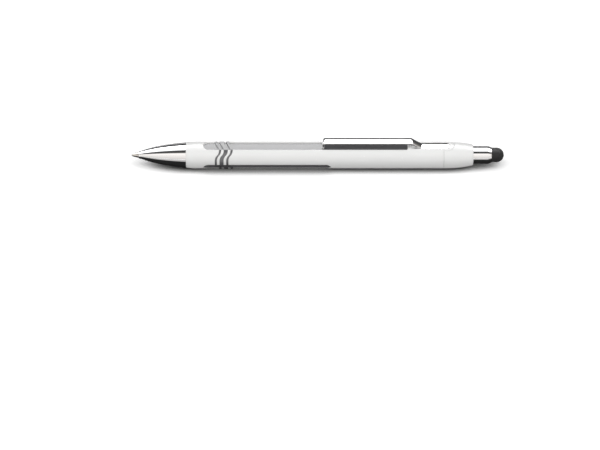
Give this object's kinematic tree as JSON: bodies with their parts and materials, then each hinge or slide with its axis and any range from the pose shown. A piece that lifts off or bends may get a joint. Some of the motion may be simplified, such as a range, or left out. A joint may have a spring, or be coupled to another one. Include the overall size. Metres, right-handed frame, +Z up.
{
  "type": "stylus pen",
  "caption": "Push-button ballpoint pen with a soft touch-screen dome on its button, a pocket clip, and a round barrel with inlaid channels and wavy grip bands.",
  "frame": {"origin": "on the table under the middle of the pen, which lies on its barrel with the clip on top", "axes": "+X along the pen towards the stylus dome, +Z up through the pocket clip, +Y across the pen"},
  "size_m": [0.145, 0.0104, 0.013],
  "materials": {
    "white_shell": "polished white moulding",
    "grey_inlay": "smooth dark grey moulding",
    "chrome_plate": "bright plating",
    "black_rubber": "matte conductive rubber",
    "mechanism_plastic": "natural acetal",
    "spring_steel": "bright drawn steel",
    "refill_plastic": "milky polypropylene",
    "point_metal": "turned nickel silver",
    "ink": "blue-black ink",
    "follower_grease": "clear grease"
  },
  "bodies": {
    "barrel": {"barrel_shell": "white_shell", "grip_inlay": "grey_inlay", "end_cap": "white_shell", "clip_root": "chrome_plate", "cam_sleeve": "mechanism_plastic"},
    "clip": {"clip_arm": "chrome_plate"},
    "button": {"plunger": "mechanism_plastic", "button_core": "mechanism_plastic", "button_sleeve": "chrome_plate", "stylus_dome": "black_rubber"},
    "rotor": {"cam_rotor": "mechanism_plastic"},
    "refill": {"refill_tube": "refill_plastic", "tip_holder": "refill_plastic", "refill_point": "point_metal", "writing_ball": "spring_steel", "ink_column": "ink", "ink_follower": "follower_grease", "refill_plug": "mechanism_plastic", "return_spring": "spring_steel"},
    "nose": {"nose_cone": "chrome_plate"}
  },
  "joints": [
    {"name": "button_slide", "type": "slide", "parent": "barrel", "child": "button", "axis": [1, 0, 0], "range_m": [-0.001, 0.0055]},
    {"name": "rotor_slide", "type": "slide", "parent": "barrel", "child": "rotor", "axis": [1, 0, 0], "range_m": [-0.001, 0.0055]},
    {"name": "refill_slide", "type": "slide", "parent": "barrel", "child": "refill", "axis": [1, 0, 0], "range_m": [-0.001, 0.0055], "deforming": ["return_spring"]},
    {"name": "clip_flex", "type": "hinge", "parent": "barrel", "child": "clip", "pos_m": [0.0408, 0, 0.01025], "axis": [0, 1, 0], "range_deg": [0, 4], "stiffness_Nm_per_rad": 0.5},
    {"name": "nose_pull", "type": "slide", "parent": "barrel", "child": "nose", "axis": [1, 0, 0], "range_m": [-0.0285, 0]}
  ],
  "couplings": [
    {"joint": "rotor_slide", "follows": "button_slide", "ratio": 1},
    {"joint": "refill_slide", "follows": "button_slide", "ratio": 1}
  ]
}
